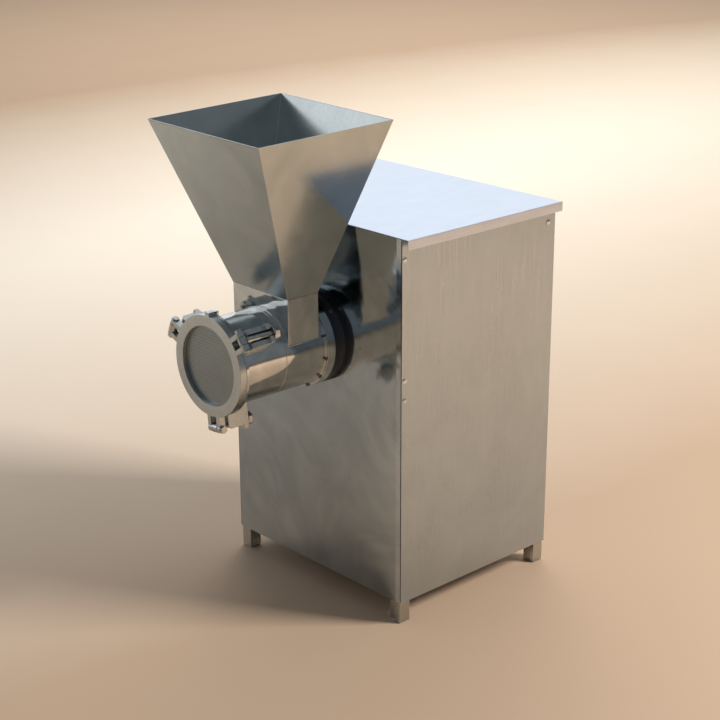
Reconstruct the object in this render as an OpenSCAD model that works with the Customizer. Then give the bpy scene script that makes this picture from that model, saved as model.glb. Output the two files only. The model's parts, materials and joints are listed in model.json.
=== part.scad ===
// Screw-fed hammer mill: a polished barrel with a swing-bolt clamped front screen, on a sheet-steel cabinet.
// +Z is up and the barrel points along -Y. The origin is the centre of the whole footprint, on the floor:
// midway between the clamp ring's face and the cable gland's end.

/* [Cabinet] */
// Width over the side panels
cab_w = 465; // [420:1:560]
// Depth over the front and rear panels
cab_d = 394; // [370:1:470]
// Height of the lid above the floor
cab_h = 733; // [705:1:885]
// Height of the panels' lower edge above the floor
foot_h = 43; // [30:1:75]
// Thickness of the panel sheet
sheet_t = 1.2; // [0.8:0.1:2]
// Gap between a side panel and the fold of the front or rear panel
corner_gap = 1.2; // [0.6:0.1:2]
// Width of the set-back strip beside each corner
strip_w = 11; // [6:1:16]
// Depth by which that strip falls back
strip_set = 0.6; // [0.3:0.1:1]
// Depth of the folds of the front and rear panels
fold_d = 20; // [12:1:24]
// Side of the square frame tube
tube_s = 25; // [20:1:30]
// Wall of the frame tube
tube_t = 2; // [1.5:0.5:3]
// Overhang of the lid past each side panel
lid_over = 15; // [8:1:22]
// Depth of the lid's flange
lid_flange = 18; // [12:1:30]
// Height of the middle rails above the floor
mid_rail_z = 445; // [405:1:453]
// Height of the motor shelf rails above the floor
low_rail_z = 115; // [95:1:130]

/* [Barrel] */
// Depth of the barrel's axis below the lid
axis_drop = 229; // [209:1:249]
// Outer radius of the barrel
barrel_r = 80; // [74:1:90]
// Wall of the barrel
barrel_t = 4; // [3:0.5:6]
// Distance from the front panel to the clamp ring's front face
barrel_l = 244; // [235:1:290]
// Radius of the front flange and of the clamp ring
flange_r = 92; // [90:1:104]
// Width of the rear flange past the barrel
rear_flange_w = 6; // [6:1:14]
// Thickness of the front flange
front_flange_t = 6; // [5:1:16]
// Thickness of the rear flange
rear_flange_t = 18; // [12:1:20]
// Thickness of the black spacer ring
spacer_t = 22; // [16:1:30]
// Thickness of the clamp ring
ring_t = 14; // [12:1:18]
// Radius of the clamp ring's opening
ring_bore_r = 72; // [60:1:74]
// Number of screws round the rear flange
flange_screws = 12; // [8:1:16]
// Angle of the first of them, from +X towards +Z
flange_screw_angle = 20; // [0:1:45]

/* [Screen] */
// Thickness of the screen plate
screen_t = 7; // [3:0.5:9]
// Diameter of the screen's holes
screen_hole_d = 1.6; // [1.2:0.1:3]
// Spacing of the screen's holes
screen_pitch = 6.5; // [6:0.5:10]

/* [Clamps] */
// Number of swing-bolt clamps
clamps = 3; // [3]
// Angle of the first clamp, from +X towards +Z
clamp_angle = 36; // [20:1:60]
// Radius of the circle that the clamp pins lie on
pin_circle_r = 114; // [110:1:122]
// Diameter of the clamp pins
pin_d = 8; // [6:1:9]
// Diameter of the swing bolts
bolt_d = 12; // [8:1:13]
// Distance from the pin to the washer's seat
bolt_grip = 58; // [50:1:66]

/* [Feed] */
// Width of the feed neck
neck_w = 151; // [130:1:156]
// Depth of the feed neck
neck_d = 70; // [60:1:80]
// Distance from the front panel to the neck's centre
neck_out = 88; // [84:1:96]
// Height of the neck's top above the barrel's axis
neck_top = 111; // [104:1:140]
// Wall of the feed neck
neck_t = 3; // [2:0.5:4]
// Side of the hopper's square mouth
hopper_w = 300; // [240:1:340]
// Height of the hopper, at the middle of its mouth
hopper_h = 302; // [260:1:360]
// Fall of the mouth's rim from its rear left to its front right corner
mouth_fall = 12; // [0:1:20]
// Distance by which the mouth is set forward of the neck
hopper_lean = 3; // [0:1:10]
// Wall of the hopper
hopper_t = 2; // [1.5:0.5:3]
// Depth of the spigot below the hopper
spigot_h = 22; // [12:1:26]

/* [Rotor] */
// Diameter of the main shaft
shaft_d = 35; // [30:1:38]
// Radius of the rotor discs
disc_r = 52; // [50:1:56]
// Radius of the circle that the hammer pins lie on
hammer_circle_r = 40; // [38:1:42]
// Diameter of the hammer pins
hammer_pin_d = 12; // [10:1:14]
// Clearance between the hammers' tips and the barrel
tip_gap = 4; // [2:1:8]
// Thickness of a hammer
hammer_t = 12; // [8:1:13]
// Pitch of the feed screw
screw_pitch = 50; // [40:1:60]

/* [Drive] */
// Outer diameter of the pulley on the main shaft
main_pulley_d = 106; // [96:1:130]
// Outer diameter of the pulley on the motor
motor_pulley_d = 132; // [110:1:150]
// Height of the motor's axis above its feet
motor_h = 90; // [90:1:100]
// Radius of the motor's frame
motor_r = 80; // [70:1:82]

/* [Hidden] */
$fn = 48;
eps = 0.5;
fit = 0.05;
press = 0.02;
gap = 0.3;

// Cabinet
gland_l = 18;
cab_y = (barrel_l - gland_l) / 2;
side_x = cab_w / 2;
front_y = cab_y - cab_d / 2;
rear_y = cab_y + cab_d / 2;
fold_x = side_x - sheet_t - corner_gap;
post_x = fold_x - sheet_t - 0.2;
post_y = cab_d / 2 - sheet_t - strip_set;
post_in_x = post_x - tube_s;
post_in_y = post_y - tube_s;
lid_t = 1.5;
lid_low_z = cab_h - lid_t;
plate_foot_t = 3;
screw_in = 7;
rear_screw_in = 20;
screw_d = 5;
screw_head_r = 5.5;
screw_head_h = 2.4;
screw_l = 9;
top_screw_drop = 38;
screw_zs = [cab_h - top_screw_drop, mid_rail_z + 30, mid_rail_z - 7];
rear_screw_z = cab_h - top_screw_drop;
rear_panel_zs = [cab_h - 90, mid_rail_z, foot_h + 40];
half_panel = [
    [fold_x - strip_w, 0], [fold_x, strip_set], [fold_x, fold_d], [fold_x - sheet_t, fold_d],
    [fold_x - sheet_t, strip_set + sheet_t], [fold_x - strip_w, sheet_t]
];
mount_plate_t = 8;
mount_plate_h = 200;
plate_front_y = front_y + sheet_t;
plate_back_y = plate_front_y + mount_plate_t;

// Barrel, counted forward from the front panel
axis_z = cab_h - axis_drop;
spacer_y = front_y - spacer_t;
rear_flange_y = spacer_y - rear_flange_t;
ring_y = front_y - barrel_l;
ring_back_y = ring_y + ring_t;
flange_back_y = ring_back_y + front_flange_t;
screen_r = flange_r - 8;
rear_flange_r = barrel_r + rear_flange_w;
screen_seat = 1;
screen_y = ring_back_y - screen_t + screen_seat;
screen_back_y = screen_y + screen_t;
barrel_in_r = barrel_r - barrel_t;
spacer_r = rear_flange_r;
through_r = 40;
seal_r = 26;
seal_t = 10;
flange_screw_r = (barrel_r + rear_flange_r) / 2;
flange_screw_d = 3;
cap_head_r = 2.75;
cap_head_h = 3;
socket_r = 1.5;
flange_nut_r = 3.2;
flange_nut_h = 2.4;
spacer_screw_angle = 46;
spacer_screw_d = 4;
spacer_head_r = 3.4;
spacer_head_h = 2.6;
screw_flat = 1;
key_w = 12;
key_r = flange_r + 6;
key_set = 2;
key_l = 10;

// Clamps
pin_y = (ring_y + ring_back_y) / 2;
ear_t = 9;
ear_gap = 15;
ear_r = 8;
eye_r = bolt_d / 2 + 2.5;
eye_w = ear_gap - 0.8;
lug_t = 10;
lug_w = 34;
lug_r = pin_circle_r + 12;
lug_root_r = barrel_r - 6;
cheek_t = 9;
cheek_r = pin_circle_r + 4;
slot_gap = 0.6;
seat_gap = 0.2;
washer_r = 15.5;
washer_t = 3;
nut_r = 12.7;
nut_h = 12.5;
bolt_past_nut = 5;
pin_head_r = 7;
pin_head_h = 5;
pin_button_r = 5.5;
pin_button_h = 3;

// Feed
neck_y = front_y - neck_out;
neck_z = axis_z + neck_top;
spigot_w = neck_w - 2 * neck_t - 2 * gap;
spigot_d = neck_d - 2 * neck_t - 2 * gap;

// Rotor, counted back from the screen
shaft_r = shaft_d / 2;
nut_front_y = screen_back_y + 5;
locknut_t = 8;
discs = 4;
disc_t = 5;
disc_gap = 16;
rotor_y = nut_front_y + locknut_t;
rotor_l = discs * disc_t + (discs - 1) * disc_gap;
hub_r = 26;
hammer_rows = 4;
hammer_w = 20;
hammer_tip = barrel_in_r - tip_gap - hammer_circle_r;
feed_y = rotor_y + rotor_l + 1;
feed_l = rear_flange_y - 6 - feed_y;
flight_t = 5;
flight_r = barrel_in_r - 3;

// Bearings and drive
bearing_h = 47.6;
bearing_ys = [plate_back_y + 58, plate_back_y + 258];
housing_l = 167;
housing_w = 48;
housing_bolt_x = 63.5;
housing_bolt_d = 14;
outer_ring_r = 36;
beam_w = 60;
beam_h = 40;
beam_t = 3;
beam_top_z = axis_z - bearing_h;
pulley_w = 35;
belt_pitch = 15;
belt_w = 10.4;
belt_h = 8;
belt_drop = 1;
groove_h = 10;
pulley_y = rear_y - 72;
shelf_z = low_rail_z + tube_s / 2;
motor_plate_t = 8;
motor_z = shelf_z + motor_plate_t + motor_h;
motor_y = pulley_y - pulley_w / 2 - 8;
shield_t = 25;
stator_l = 120;
cowl_l = 45;
motor_shaft_r = 12;
foot_x = 70;
foot_pitch_y = 100;
foot_bolt_d = 8;

// Vents, switch and cable gland
vent_rows = 6;
vent_pitch = 16;
vent_h = 5;
vent_l = 100;
vent_x = 90;
vent_drop = 150;
gland_x = 150;
gland_z = low_rail_z + 60;
gland_r = 5.5;
gland_thread_r = gland_r + 2.5;
gland_nut_r = 12;
switch_y = front_y + 90;
switch_z = cab_h - 120;
switch_w = 30;
switch_h = 50;
rocker_w = 20;
rocker_h = 36;
rocker_tilt = 10;
rocker_x = 4;
bezel_t = 3;
bezel_w = 4;

// A solid box given by its two corners
module block(low, high) translate(low) cube(high - low);

// A cylinder along +Y from y0 to y1, about the barrel's axis unless told otherwise
module rod(r, y0, y1, x = 0, z = axis_z)
    translate([x, y0, z]) rotate([-90, 0, 0]) cylinder(r = r, h = y1 - y0);

// A ring along +Y
module tube(r, bore, y0, y1, x = 0, z = axis_z) difference() {
    rod(r, y0, y1, x, z);
    rod(bore, y0 - eps, y1 + eps, x, z);
}

// A hexagon along +Y
module hex(r, y0, y1, x = 0, z = axis_z)
    translate([x, y0, z]) rotate([-90, 0, 0]) cylinder(r = r, h = y1 - y0, $fn = 6);

// Copies in the cabinet's four corners, of what is drawn about its centre
module four() for (sx = [0, 1], sy = [0, 1]) at_centre() mirror([sx, 0, 0]) mirror([0, sy, 0]) children();

// Children drawn about the cabinet's own centre
module at_centre() translate([0, cab_y, 0]) children();

// A square tube along X, Y or Z between two corners
module box_tube(low, high, wall, axis) {
    open = [for (i = [0:2]) i == axis ? -eps : wall];
    difference() {
        block(low, high);
        block(low + open, high - open);
    }
}

// Frame
module post() box_tube([post_in_x, post_in_y, plate_foot_t], [post_x, post_y, lid_low_z], tube_t, 2);

module panel_screw_holes() {
    for (side = [-1, 1]) {
        for (z = screw_zs) side_screw_hole(side, front_y + screw_in, z);
        side_screw_hole(side, rear_y - rear_screw_in, rear_screw_z);
        for (z = rear_panel_zs) rod(screw_d / 2, rear_y - 12, rear_y + eps, side * (post_x - tube_s / 2), z);
    }
}

module side_screw_hole(side, y, z)
    translate([side * (side_x + eps), y, z]) rotate([0, -90 * side, 0]) cylinder(d = screw_d, h = 14);

module corner_posts() color("silver") difference() {
    four() post();
    panel_screw_holes();
}

module foot_plates() color("gainsboro")
    four() block([post_in_x, post_in_y, 0], [post_x, post_y, plate_foot_t]);

module side_rails(z0) for (sx = [0, 1]) mirror([sx, 0, 0])
    box_tube([post_in_x, -post_in_y, z0], [post_x, post_in_y, z0 + tube_s], tube_t, 1);

module rail_ring(z0) {
    side_rails(z0);
    for (sy = [0, 1]) mirror([0, sy, 0])
        box_tube([-post_in_x, post_in_y, z0], [post_in_x, post_y, z0 + tube_s], tube_t, 0);
}

module frame_rails() color("silver") at_centre() {
    rail_ring(lid_low_z - tube_s);
    rail_ring(low_rail_z - tube_s / 2);
    side_rails(mid_rail_z - tube_s / 2);
}

module bearing_beams() color("silver") difference() {
    for (y = bearing_ys)
        box_tube([-post_in_x, y - beam_w / 2, beam_top_z - beam_h],
                 [post_in_x, y + beam_w / 2, beam_top_z], beam_t, 0);
    for (y = bearing_ys, s = [-1, 1])
        translate([s * housing_bolt_x, y, beam_top_z - beam_h - eps])
            cylinder(d = housing_bolt_d + 0.5, h = beam_h + 2 * eps);
}

module mounting_plate() color("gray") difference() {
    block([-post_in_x, plate_front_y, axis_z - mount_plate_h / 2],
          [post_in_x, plate_back_y, axis_z + mount_plate_h / 2]);
    rod(through_r, plate_front_y - eps, plate_back_y + eps);
    flange_screw_holes();
}

module motor_plate() color("gray") difference() {
    block([-post_in_x - tube_s + 5, motor_y - stator_l - 2 * shield_t, shelf_z],
          [post_in_x + tube_s - 5, motor_y + 5, shelf_z + motor_plate_t]);
    foot_bolt_holes();
}

// Panels
module folded_panel() translate([0, -cab_d / 2, foot_h]) linear_extrude(lid_low_z - foot_h)
    polygon(concat(half_panel, [for (i = [5:-1:0]) [-half_panel[i][0], half_panel[i][1]]]));

module front_panel() color("silver") difference() {
    at_centre() folded_panel();
    rod(through_r, front_y - eps, plate_front_y + eps);
    flange_screw_holes();
    panel_screw_holes();
}

module rear_panel() color("silver") difference() {
    at_centre() mirror([0, 1, 0]) folded_panel();
    panel_screw_holes();
    rod(gland_thread_r + gap, rear_y - 5, rear_y + eps, gland_x, gland_z);
    for (row = [0:vent_rows - 1], s = [-1, 1]) {
        z = cab_h - vent_drop - row * vent_pitch;
        block([s * vent_x - vent_l / 2, rear_y - 5, z], [s * vent_x + vent_l / 2, rear_y + eps, z + vent_h]);
    }
}

module side_panel() block([side_x - sheet_t, front_y + 1, foot_h], [side_x, rear_y - 1, lid_low_z]);

module right_side_panel() color("silver") difference() {
    side_panel();
    panel_screw_holes();
}

module left_side_panel() color("silver") difference() {
    mirror([1, 0, 0]) side_panel();
    panel_screw_holes();
    at_switch() block([-eps, -switch_w / 2, -switch_h / 2], [5, switch_w / 2, switch_h / 2]);
}

module floor_pan() color("silver") difference() {
    at_centre() block([-post_x, -post_y + 2, foot_h + 1], [post_x, post_y - 2, foot_h + 1 + sheet_t]);
    four() block([post_in_x - gap, post_in_y - gap, 0], [post_x + eps, post_y + eps, foot_h + 9]);
}

module top_lid() color("lightsteelblue") {
    block([-side_x - lid_over, front_y, lid_low_z], [side_x + lid_over, rear_y + lid_t, cab_h]);
    for (sx = [-1, 1]) mirror([sx < 0 ? 1 : 0, 0, 0])
        block([side_x + lid_over - lid_t, front_y, cab_h - lid_flange],
              [side_x + lid_over, rear_y + lid_t, cab_h]);
    block([-side_x - lid_over, rear_y, cab_h - lid_flange], [side_x + lid_over, rear_y + lid_t, cab_h]);
}

// The head is the tip of a sphere, cut off by a cylinder
module pan_screw() {
    dome_r = 8;
    cylinder(d = screw_d - 0.2, h = screw_l);
    translate([0, 0, -screw_head_h]) intersection() {
        cylinder(r = screw_head_r, h = screw_head_h);
        translate([0, 0, dome_r - screw_head_h]) sphere(r = dome_r);
    }
}

module panel_screws() color("white") {
    for (side = [-1, 1]) {
        for (z = screw_zs)
            translate([side * side_x, front_y + screw_in, z]) rotate([0, -90 * side, 0]) pan_screw();
        translate([side * side_x, rear_y - rear_screw_in, rear_screw_z]) rotate([0, -90 * side, 0]) pan_screw();
        for (z = rear_panel_zs)
            translate([side * (post_x - tube_s / 2), rear_y, z]) rotate([90, 0, 0]) pan_screw();
    }
}

// Barrel
module flange_screw_holes() for (i = [0:flange_screws - 1])
    at_flange_screw(i) rod(flange_screw_d / 2 + 0.2, rear_flange_y - eps, plate_back_y + eps, 0, 0);

module at_flange_screw(i) at_angle(flange_screw_angle + i * 360 / flange_screws, flange_screw_r) children();

// Children drawn about x = z = 0 are moved to an angle and a radius about the barrel's axis
module at_angle(a, r) translate([0, 0, axis_z]) rotate([0, -a, 0]) translate([r, 0, 0]) children();

module barrel_tube() color("silver") difference() {
    tube(barrel_r, barrel_in_r, screen_back_y, rear_flange_y);
    block([-neck_w / 2 + neck_t, neck_y - neck_d / 2 + neck_t, axis_z],
          [neck_w / 2 - neck_t, neck_y + neck_d / 2 - neck_t, axis_z + barrel_r + eps]);
}

// A key on top, half on the clamp ring and half on the front flange
module locating_key(y0, y1) at_angle(90, 0) block([flange_r - 10, y0, -key_w / 2], [key_r, y1, key_w / 2]);

module barrel_front_flange() color("silver") difference() {
    union() {
        rod(flange_r, ring_back_y, flange_back_y);
        locating_key(ring_back_y, ring_back_y + key_l);
    }
    rod(barrel_r, ring_back_y - eps, flange_back_y + key_l);
    rod(screen_r + gap, ring_back_y - eps, screen_back_y);
}

module barrel_rear_flange() color("silver") difference() {
    rod(rear_flange_r, rear_flange_y, spacer_y);
    rod(shaft_r + 1, rear_flange_y - eps, spacer_y + eps);
    rod(seal_r, rear_flange_y - eps, rear_flange_y + seal_t);
    flange_screw_holes();
}

module spacer_ring() color("black") difference() {
    tube(spacer_r, through_r, spacer_y, front_y);
    flange_screw_holes();
    at_spacer_screw() {
        cylinder(d = spacer_screw_d + 0.2, h = screw_l);
        translate([0, 0, -spacer_head_h]) cylinder(r = spacer_head_r + gap, h = spacer_head_h);
    }
}

// The spacer's radial screw, drawn along +Z from the spacer's face inwards
module at_spacer_screw() at_angle(spacer_screw_angle, spacer_r - screw_flat)
    translate([0, spacer_y + spacer_t / 2, 0]) rotate([0, -90, 0]) children();

module flange_bolts() color("dimgray") {
    for (i = [0:flange_screws - 1]) at_flange_screw(i) {
        difference() {
            rod(cap_head_r, rear_flange_y - cap_head_h, rear_flange_y, 0, 0);
            hex(socket_r, rear_flange_y - cap_head_h - eps, rear_flange_y - 1.5, 0, 0);
        }
        rod(flange_screw_d / 2, rear_flange_y - 1, plate_back_y + 6, 0, 0);
        hex(flange_nut_r, plate_back_y, plate_back_y + flange_nut_h, 0, 0);
    }
    at_spacer_screw() {
        translate([0, 0, -1]) cylinder(d = spacer_screw_d, h = screw_l);
        translate([0, 0, -spacer_head_h]) cylinder(r = spacer_head_r, h = spacer_head_h);
    }
}

module feed_neck() color("silver") difference() {
    block([-neck_w / 2, neck_y - neck_d / 2, axis_z + 5], [neck_w / 2, neck_y + neck_d / 2, neck_z]);
    block([-neck_w / 2 + neck_t, neck_y - neck_d / 2 + neck_t, axis_z],
          [neck_w / 2 - neck_t, neck_y + neck_d / 2 - neck_t, neck_z + eps]);
    rod(barrel_r, neck_y - neck_d, neck_y + neck_d);
}

// Clamps: x is radial from the clamp pin's circle, y runs along the barrel and z is tangential
function clamp_at(i) = clamp_angle + i * 360 / clamps;

module at_clamp(i) at_angle(clamp_at(i), 0) children();

// A cylinder along the tangent, about the clamp pin's axis
module pin_rod(r, w) translate([pin_circle_r, pin_y, -w / 2]) cylinder(r = r, h = w);

module ear() {
    pin_rod(ear_r, ear_t);
    block([flange_r - 10, ring_y, -ear_t / 2], [pin_circle_r, ring_back_y, ear_t / 2]);
}

module clamp_ring() color("silver") difference() {
    union() {
        rod(flange_r, ring_y, ring_back_y);
        locating_key(ring_y + key_set, ring_back_y);
        for (i = [0:clamps - 1], s = [-1, 1])
            at_clamp(i) translate([0, 0, s * (ear_gap + ear_t) / 2]) ear();
    }
    rod(ring_bore_r, ring_y - eps, ring_back_y + eps);
    rod(screen_r + gap, screen_y, ring_back_y + eps);
    for (i = [0:clamps - 1]) at_clamp(i) pin_rod(pin_d / 2 + fit, ear_gap + 2 * ear_t + 2);
}

module screen_plate() color("darkgray") difference() {
    rod(screen_r, screen_y, screen_back_y);
    screen_holes();
}

// Holes on a triangular grid, inside the ring's opening
module screen_holes() {
    row_step = screen_pitch * sqrt(3) / 2;
    rows = floor(ring_bore_r / row_step);
    limit = ring_bore_r - 5;
    for (j = [-rows:rows], i = [-rows - 4:rows + 4]) {
        x = (i + (j % 2 == 0 ? 0 : 0.5)) * screen_pitch;
        z = j * row_step;
        if (norm([x, z]) < limit) rod(screen_hole_d / 2, screen_y - eps, screen_back_y + eps, x, axis_z + z);
    }
}

module clamp_pins() color("gainsboro") for (i = [0:clamps - 1]) at_clamp(i) {
    half = ear_gap / 2 + ear_t;
    pin_rod(pin_d / 2, 2 * half + pin_button_h);
    translate([pin_circle_r, pin_y, half]) cylinder(r = pin_head_r, h = pin_head_h, $fn = 6);
    translate([pin_circle_r, pin_y, -half - pin_button_h]) cylinder(r = pin_button_r, h = pin_button_h);
}

module clamp_lug() difference() {
    seat_y = pin_y + bolt_grip - seat_gap;
    union() {
        block([lug_root_r, seat_y - lug_t, -lug_w / 2], [lug_r, seat_y, lug_w / 2]);
        for (s = [0, 1]) mirror([0, 0, s]) translate([0, 0, lug_w / 2 - cheek_t])
            linear_extrude(cheek_t) polygon([
                [lug_root_r, flange_back_y], [cheek_r - 6, flange_back_y], [cheek_r, flange_back_y + 6],
                [cheek_r, seat_y - lug_t + 1], [lug_root_r, seat_y - lug_t + 1]
            ]);
    }
    lug_cuts();
}

// The slot is open outwards, and the seat past the bolt's line is an arc about the clamp pin
module lug_cuts() {
    slot_r = bolt_d / 2 + slot_gap;
    seat_r = bolt_grip - seat_gap;
    translate([pin_circle_r, pin_y + bolt_grip - 50, 0]) rotate([-90, 0, 0]) cylinder(r = slot_r, h = 60);
    block([pin_circle_r, pin_y + bolt_grip - 50, -slot_r], [lug_r + 5, pin_y + bolt_grip + 10, slot_r]);
    difference() {
        block([pin_circle_r, pin_y + bolt_grip - 6, -lug_w], [lug_r + 5, pin_y + bolt_grip + 6, lug_w]);
        pin_rod(seat_r, 3 * lug_w);
    }
}

module clamp_lugs() color("silver") difference() {
    for (i = [0:clamps - 1]) at_clamp(i) clamp_lug();
    rod(barrel_r, ring_y, rear_flange_y);
}

module swing_bolt(i) color("gainsboro") at_clamp(i) difference() {
    union() {
        pin_rod(eye_r, eye_w);
        translate([pin_circle_r, pin_y, 0]) rotate([-90, 0, 0])
            cylinder(r = bolt_d / 2, h = bolt_grip + washer_t + nut_h + bolt_past_nut);
    }
    pin_rod(pin_d / 2 + fit, eye_w + 2);
}

module clamp_washer(i) color("gainsboro") at_clamp(i)
    translate([pin_circle_r, 0, 0])
        tube(washer_r, bolt_d / 2 + fit, pin_y + bolt_grip, pin_y + bolt_grip + washer_t, 0, 0);

module clamp_nut(i) color("gainsboro") at_clamp(i) translate([pin_circle_r, 0, 0]) difference() {
    nut_y = pin_y + bolt_grip + washer_t + 0.1;
    hex(nut_r, nut_y, nut_y + nut_h, 0, 0);
    rod(bolt_d / 2 + fit, nut_y - eps, nut_y + nut_h + eps, 0, 0);
}

module swing_bolt_1() swing_bolt(0);
module swing_bolt_2() swing_bolt(1);
module swing_bolt_3() swing_bolt(2);
module clamp_washer_1() clamp_washer(0);
module clamp_washer_2() clamp_washer(1);
module clamp_washer_3() clamp_washer(2);
module clamp_nut_1() clamp_nut(0);
module clamp_nut_2() clamp_nut(1);
module clamp_nut_3() clamp_nut(2);

// Hopper: a leaning frustum over a short spigot
module frustum(inset, z0, z1) {
    k0 = (z0 - neck_z) / hopper_h;
    k1 = (z1 - neck_z) / hopper_h;
    low = frustum_ring(k0, inset);
    high = frustum_ring(k1, inset);
    points = concat([for (p = low) [p[0], p[1], z0]], [for (p = high) [p[0], p[1], z1]]);
    sides = [for (i = [0:3]) [(i + 1) % 4, (i + 1) % 4 + 4, i + 4, i]];
    polyhedron(points, concat([[3, 2, 1, 0], [4, 5, 6, 7]], sides));
}

function frustum_ring(k, inset) =
    let (w = neck_w + (hopper_w - neck_w) * k - 2 * inset)
    let (d = neck_d + (hopper_w - neck_d) * k - 2 * inset)
    let (y = neck_y - hopper_lean * k)
    [[-w / 2, y - d / 2], [-w / 2, y + d / 2], [w / 2, y + d / 2], [w / 2, y - d / 2]];

// All above the rim's plane, which falls from the rear left corner to the front right one
module mouth_cut() translate([0, neck_y - hopper_lean, neck_z + hopper_h])
    rotate(a = atan(mouth_fall / (hopper_w * sqrt(2))), v = [1, 1, 0])
        block([-hopper_w, -hopper_w, 0], [hopper_w, hopper_w, hopper_w]);

module hopper() color("silver") difference() {
    union() {
        frustum(0, neck_z, neck_z + hopper_h + mouth_fall);
        block([-spigot_w / 2, neck_y - spigot_d / 2, neck_z - spigot_h],
              [spigot_w / 2, neck_y + spigot_d / 2, neck_z + 1]);
    }
    frustum(hopper_t, neck_z + hopper_t, neck_z + hopper_h + mouth_fall + eps);
    mouth_cut();
    block([-spigot_w / 2 + hopper_t, neck_y - spigot_d / 2 + hopper_t, neck_z - spigot_h - eps],
          [spigot_w / 2 - hopper_t, neck_y + spigot_d / 2 - hopper_t, neck_z + hopper_t + eps]);
}

// Rotor
module main_shaft() color("lightgray") {
    rod(shaft_r, rotor_y, pulley_y + pulley_w / 2 + 8);
    rod(shaft_r - 2.5, nut_front_y - 2, rotor_y);
}

module feed_screw() color("silver") difference() {
    union() {
        rod(hub_r, feed_y, feed_y + feed_l);
        translate([0, feed_y, axis_z]) rotate([-90, 0, 0])
            linear_extrude(feed_l, twist = -360 * feed_l / screw_pitch,
                           slices = ceil(20 * feed_l / screw_pitch), $fn = 8)
                translate([hub_r - 4, -flight_w() / 2]) square([flight_r - hub_r + 4, flight_w()]);
    }
    rod(shaft_r + press, feed_y - eps, feed_y + feed_l + eps);
}

// Tangential width of the flight's section that gives its thickness along the axis
function flight_w() = flight_t * 2 * PI * hub_r / screw_pitch;

module rotor_discs() color("gray") difference() {
    union() {
        rod(hub_r, rotor_y, rotor_y + rotor_l);
        for (i = [0:discs - 1]) {
            y = rotor_y + i * (disc_t + disc_gap);
            rod(disc_r, y, y + disc_t);
        }
    }
    rod(shaft_r + press, rotor_y - eps, rotor_y + rotor_l + eps);
    for (i = [0:hammer_rows - 1]) at_hammer(i)
        rod(hammer_pin_d / 2 + fit, rotor_y - eps, rotor_y + rotor_l + eps, 0, 0);
}

module at_hammer(i) at_angle(45 + i * 360 / hammer_rows, hammer_circle_r) children();

module hammer_pins() color("lightgray") for (i = [0:hammer_rows - 1]) at_hammer(i) {
    rod(hammer_pin_d / 2, rotor_y - 1.5, rotor_y + rotor_l + 0.5, 0, 0);
    rod(hammer_pin_d / 2 + 1.5, rotor_y - 3, rotor_y, 0, 0);
}

module rotor_locknut() color("gray") difference() {
    hex(27, nut_front_y, rotor_y);
    rod(shaft_r - 2.5 + press, nut_front_y - eps, rotor_y + eps);
}

module hammers(i) color("dimgray") at_hammer(i) for (k = [0:discs - 2]) {
    y = rotor_y + disc_t + k * (disc_t + disc_gap) + (disc_gap - hammer_t) / 2;
    difference() {
        union() {
            rod(hammer_w / 2, y, y + hammer_t, 0, 0);
            block([0, y, -hammer_w / 2], [hammer_tip, y + hammer_t, hammer_w / 2]);
        }
        rod(hammer_pin_d / 2 + fit, y - eps, y + hammer_t + eps, 0, 0);
    }
}

module hammers_1() hammers(0);
module hammers_2() hammers(1);
module hammers_3() hammers(2);
module hammers_4() hammers(3);

module shaft_seal() color("black") tube(seal_r, shaft_r + fit, rear_flange_y, rear_flange_y + seal_t);

// Bearings
module bearing_housings() color("seagreen") for (y = bearing_ys) difference() {
    union() {
        block([-housing_l / 2, y - housing_w / 2, beam_top_z],
              [housing_l / 2, y + housing_w / 2, beam_top_z + 18]);
        block([-46, y - 15, beam_top_z], [46, y + 15, axis_z]);
        rod(46, y - 15, y + 15);
    }
    rod(outer_ring_r, y - housing_w, y + housing_w);
    for (s = [-1, 1]) translate([s * housing_bolt_x, y, beam_top_z - eps])
        cylinder(d = housing_bolt_d + 0.5, h = 20);
}

module bearing_outer_rings() color("lightgray") for (y = bearing_ys) tube(outer_ring_r, 30, y - 10, y + 10);

module bearing_inner_rings() color("lightgray") for (y = bearing_ys) tube(24, shaft_r + press, y - 21, y + 21);

module bearing_bolts() color("gray") for (y = bearing_ys, s = [-1, 1])
    translate([s * housing_bolt_x, y, 0]) {
        translate([0, 0, beam_top_z + 18]) cylinder(r = 12, h = 9, $fn = 6);
        translate([0, 0, beam_top_z - beam_h - 20]) cylinder(d = housing_bolt_d, h = beam_h + 39);
        translate([0, 0, beam_top_z - beam_h - 12]) cylinder(r = 12, h = 12, $fn = 6);
    }

// Pulleys and belts: the grooves are straight-sided, a little wider at the rim
module grooved_pulley(r, bore, z) translate([0, pulley_y, z]) rotate([-90, 0, 0]) difference() {
    translate([0, 0, -pulley_w / 2]) cylinder(r = r, h = pulley_w);
    for (s = [-1, 1]) translate([0, 0, s * belt_pitch / 2]) rotate_extrude() polygon([
        [r + eps, -6.9], [r + eps, 6.9], [r - groove_h, 5.6], [r - groove_h, -5.6]
    ]);
    translate([0, 0, -pulley_w]) cylinder(r = bore, h = 2 * pulley_w);
}

module main_pulley() color("gray") grooved_pulley(main_pulley_d / 2, shaft_r + press, axis_z);

module motor_pulley() color("gray") grooved_pulley(motor_pulley_d / 2, motor_shaft_r + press, motor_z);

// The outline of a belt round both pulleys, at a depth below their rims
module belt_outline(drop) {
    r0 = motor_pulley_d / 2 - drop;
    r1 = main_pulley_d / 2 - drop;
    span = axis_z - motor_z;
    lean = asin((r0 - r1) / span);
    circle(r = r0);
    translate([0, span]) circle(r = r1);
    polygon([
        [r0 * cos(lean), r0 * sin(lean)], [r1 * cos(lean), span + r1 * sin(lean)],
        [-r1 * cos(lean), span + r1 * sin(lean)], [-r0 * cos(lean), r0 * sin(lean)]
    ]);
}

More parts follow.
